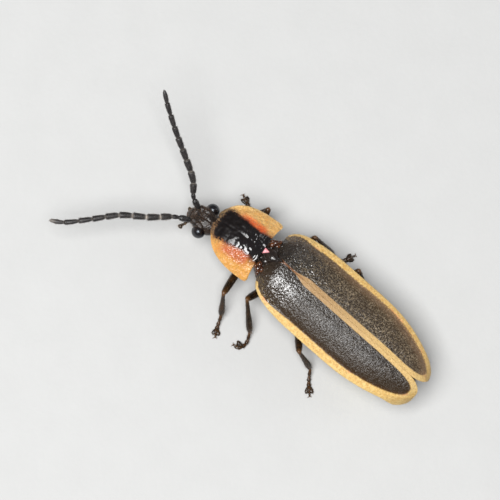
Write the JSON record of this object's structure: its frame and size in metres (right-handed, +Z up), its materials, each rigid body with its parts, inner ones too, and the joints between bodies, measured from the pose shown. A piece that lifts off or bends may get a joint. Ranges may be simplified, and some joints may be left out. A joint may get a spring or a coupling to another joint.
{
  "type": "firefly",
  "caption": "Life-size still model of a standing firefly with charcoal wing cases edged in tan, a tan shield with a dark disc, and dark legs and feelers.",
  "frame": {"origin": "on the floor under the middle of the whole model's box, feelers and feet included", "axes": "the insect faces -Y, its left side is towards +X, +Z is up"},
  "size_m": [0.0086, 0.0162, 0.0048],
  "materials": {
    "wing_case": "finely wrinkled, downy, satin",
    "shield": "satin with a glossy dark disc",
    "black_plate": "glossy, finely pitted",
    "eye": "glossy, finely faceted",
    "amber_plate": "glossy",
    "feeler": "downy",
    "belly": "satin, downy",
    "lantern": "smooth, waxy",
    "leg": "satin, bristly"
  },
  "bodies": {
    "root": {"abdomen": "belly", "abdomen_tip": "belly", "antenna_left_flagellum_base": "feeler", "antenna_left_flagellum_tip": "feeler", "antenna_left_scape": "feeler", "antenna_right_flagellum_base": "feeler", "antenna_right_flagellum_tip": "feeler", "antenna_right_scape": "feeler", "elytron_left": "wing_case", "elytron_right": "wing_case", "eye_left": "eye", "eye_right": "eye", "fore_left_coxa": "leg", "fore_left_femur": "leg", "fore_left_tarsus": "leg", "fore_left_tibia": "leg", "fore_right_coxa": "leg", "fore_right_femur": "leg", "fore_right_tarsus": "leg", "fore_right_tibia": "leg", "head": "black_plate", "hind_left_coxa": "leg", "hind_left_femur": "leg", "hind_left_tarsus": "leg", "hind_left_tibia": "leg", "hind_right_coxa": "leg", "hind_right_femur": "leg", "hind_right_tarsus": "leg", "hind_right_tibia": "leg", "lantern": "lantern", "mid_left_coxa": "leg", "mid_left_femur": "leg", "mid_left_tarsus": "leg", "mid_left_tibia": "leg", "mid_right_coxa": "leg", "mid_right_femur": "leg", "mid_right_tarsus": "leg", "mid_right_tibia": "leg", "palp_left": "leg", "palp_right": "leg", "pronotum": "shield", "prothorax": "belly", "pterothorax": "belly", "scutellum": "black_plate", "wing_base_left": "amber_plate", "wing_base_right": "amber_plate"}
  },
  "joints": []
}
